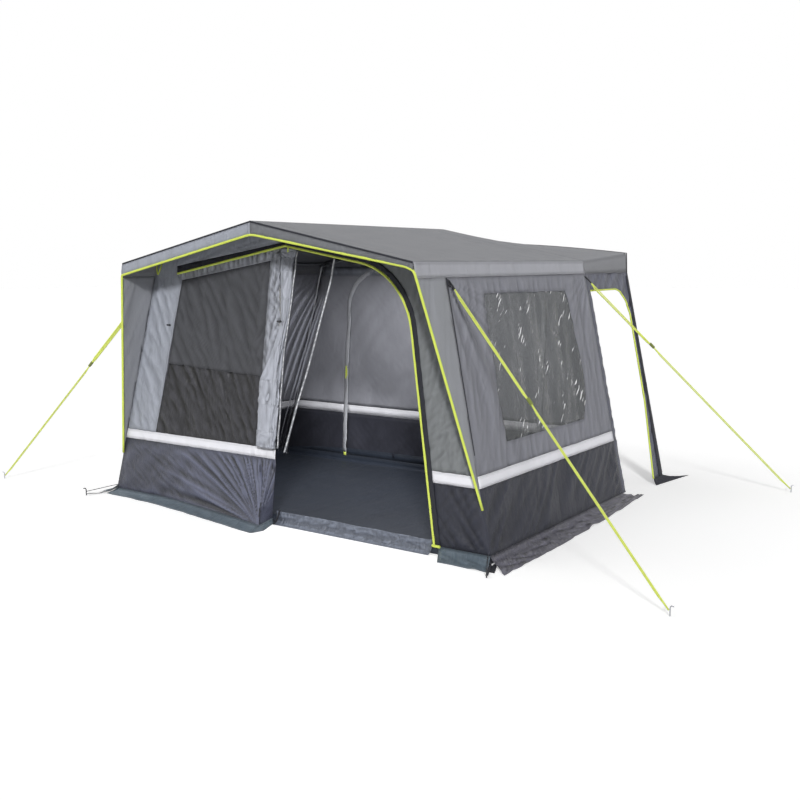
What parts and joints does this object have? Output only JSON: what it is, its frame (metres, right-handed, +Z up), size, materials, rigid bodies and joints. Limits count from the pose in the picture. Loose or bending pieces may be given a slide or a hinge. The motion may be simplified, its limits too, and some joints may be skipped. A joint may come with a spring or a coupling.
{
  "type": "campervan awning",
  "caption": "Ridge-roofed poled awning room with an arched doorway, mesh front window, canopy wings and a connection tunnel, held by guy ropes.",
  "frame": {"origin": "middle of the room's floor, on the groundsheet's underside", "axes": "+X along the front from the mesh window to the doorway, +Y from the front towards the vehicle, +Z up"},
  "size_m": [5.6408, 3.3238, 2.0015],
  "materials": {
    "roof_cloth": "coated, slight sheen",
    "wall_light": "matt weave",
    "wall_mid": "matt weave",
    "wall_dark": "matt weave",
    "mesh": "fine net",
    "white_tape": "smooth tape",
    "lime_cloth": "smooth tape and cord",
    "ground_cloth": "coated, slight sheen",
    "film": "clear film, tinted",
    "steel": "satin tube",
    "black_plastic": "moulded, matt",
    "lime_plastic": "moulded, smooth"
  },
  "bodies": {
    "root": {"groundsheet": "ground_cloth", "door_sill": "ground_cloth", "mudflap_left": "ground_cloth", "mudflap_right": "ground_cloth", "mudflap_tunnel_left": "ground_cloth", "mudflap_tunnel_right": "ground_cloth", "front_left_panel": "wall_light", "front_mesh_window": "mesh", "front_left_lower": "wall_dark", "front_right_panel": "wall_light", "door_arch_piping": "lime_cloth", "front_gable_vent": "mesh", "right_wall": "wall_mid", "right_window": "film", "right_wall_lower": "wall_dark", "left_wall": "wall_mid", "left_window": "film", "left_wall_lower": "wall_dark", "wall_band_left": "white_tape", "wall_band_right": "white_tape", "wing_left": "wall_mid", "wing_right": "wall_mid", "rear_wall": "wall_mid", "rear_door": "wall_mid", "rear_door_zip": "wall_light", "roof_left": "roof_cloth", "roof_right": "roof_cloth", "front_valance": "roof_cloth", "canopy_piping": "lime_cloth", "tunnel_roof": "roof_cloth", "tunnel_side_left": "wall_dark", "tunnel_side_right": "wall_dark", "tunnel_bead": "black_plastic", "rolled_door": "wall_light", "inner_door": "wall_mid", "guy_rope_front_left": "lime_cloth", "guy_rope_front_right": "lime_cloth", "guy_rope_rear_right": "lime_cloth", "guy_peg_front_left": "steel", "guy_peg_front_right": "steel", "guy_peg_rear_right": "steel", "hook_front_left": "black_plastic", "hook_front_right": "black_plastic", "hook_rear_right": "black_plastic", "front_hoop": "steel", "rear_hoop": "steel", "ridge_pole": "steel", "eave_pole_left": "steel", "eave_pole_right": "steel", "canopy_brow": "steel", "corner_peg_left": "steel", "corner_peg_right": "steel"},
    "runner_front_right": {"runner_front_right": "black_plastic"},
    "runner_front_left": {"runner_front_left": "black_plastic"},
    "runner_rear_right": {"runner_rear_right": "black_plastic"},
    "rear_zip_slider": {"rear_zip_slider": "lime_plastic"},
    "rear_zip_pull": {"rear_zip_pull": "lime_cloth"},
    "front_zip_pull": {"front_zip_pull": "lime_cloth"},
    "toggle_window": {"toggle_window": "black_plastic"},
    "toggle_door": {"toggle_door": "black_plastic"}
  },
  "joints": [
    {"name": "runner_slide_front_right", "type": "slide", "parent": "root", "child": "runner_front_right", "axis": [0.6799, -0.1606, -0.7155], "range_m": [-0.793, 1.238]},
    {"name": "runner_slide_front_left", "type": "slide", "parent": "root", "child": "runner_front_left", "axis": [-0.6799, -0.1606, -0.7155], "range_m": [-0.793, 1.238]},
    {"name": "runner_slide_rear_right", "type": "slide", "parent": "root", "child": "runner_rear_right", "axis": [0.5883, 0.3821, -0.7126], "range_m": [-0.601, 1.439]},
    {"name": "rear_zip_slide", "type": "slide", "parent": "root", "child": "rear_zip_slider", "axis": [0, 0.0626, 0.998], "range_m": [-0.72, 0.46]},
    {"name": "rear_pull_swing", "type": "hinge", "parent": "rear_zip_slider", "child": "rear_zip_pull", "pos_m": [-0.95, 0.99566, 0.84087], "axis": [1, 0, 0], "range_deg": [-150, 0]},
    {"name": "front_pull_swing", "type": "hinge", "parent": "root", "child": "front_zip_pull", "pos_m": [0.033, -0.83509, 1.84088], "axis": [1, 0, 0], "range_deg": [-120, 0]},
    {"name": "toggle_window_turn", "type": "hinge", "parent": "root", "child": "toggle_window", "pos_m": [-1.099, -0.86828, 1.29314], "axis": [0, -0.9972, 0.075], "range_deg": [-90, 90]},
    {"name": "toggle_door_turn", "type": "hinge", "parent": "root", "child": "toggle_door", "pos_m": [0.02, -0.91197, 1.35374], "axis": [0, -0.9972, 0.075], "range_deg": [-90, 90]}
  ]
}
